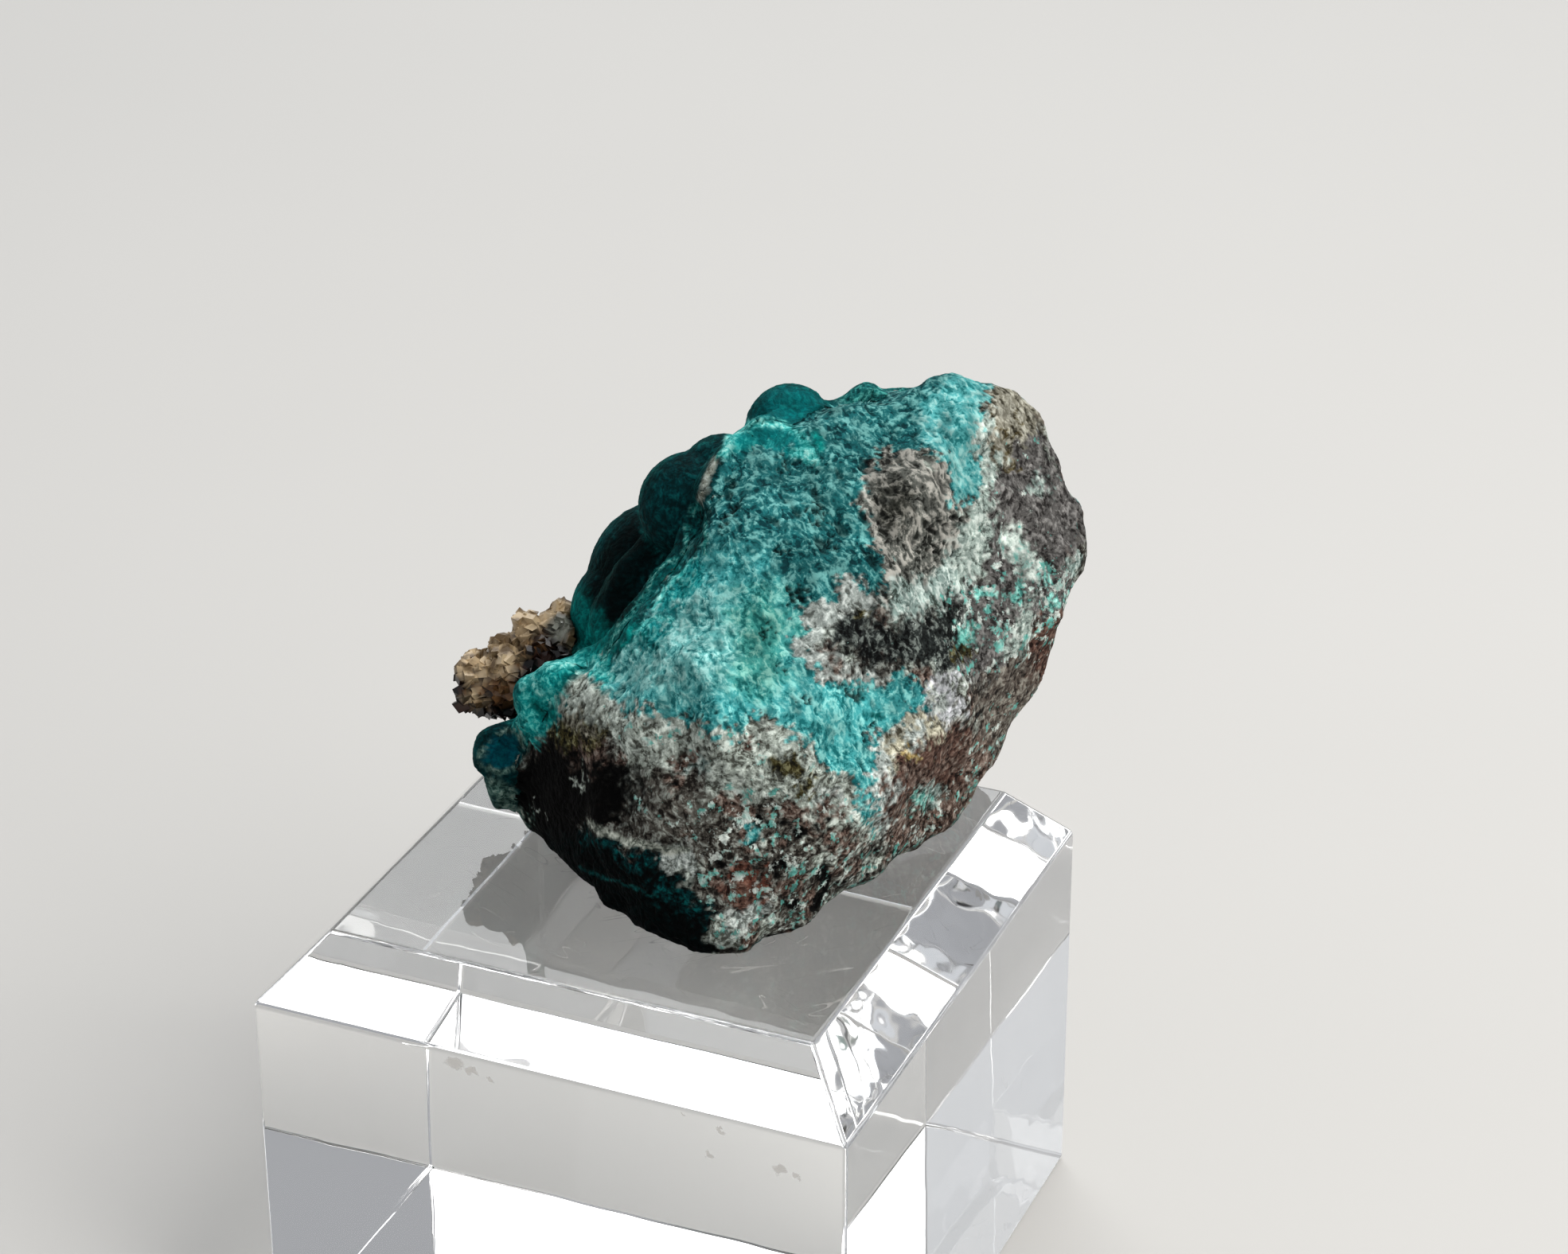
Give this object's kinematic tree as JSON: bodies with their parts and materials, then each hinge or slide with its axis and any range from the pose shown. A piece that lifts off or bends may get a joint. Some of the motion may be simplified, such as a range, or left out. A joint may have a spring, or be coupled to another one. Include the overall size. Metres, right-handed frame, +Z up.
{
  "type": "rosasite with calcite mineral specimen on a display block",
  "caption": "Broken rock with a streaky turquoise rosasite face, velvety green botryoidal crust and tan calcite, leaning on a clear bevelled block.",
  "frame": {"origin": "centre of the display block's bottom face", "axes": "+Z up, X along the block's front, +Y towards the block's back"},
  "size_m": [0.038, 0.0434, 0.0548],
  "materials": {
    "clear_block": "clear polished acrylic, see-through, with fine scratches",
    "rock": "rough broken iron-stained rock, streaked turquoise on its display face",
    "rosasite": "velvety matt dark blue-green with paler edges",
    "calcite": "tan to brown crystalline, slightly translucent, with bright cleavage glints"
  },
  "bodies": {
    "root": {"display_block": "clear_block", "matrix": "rock", "rosasite_crust": "rosasite", "calcite_crystals": "calcite"}
  },
  "joints": []
}
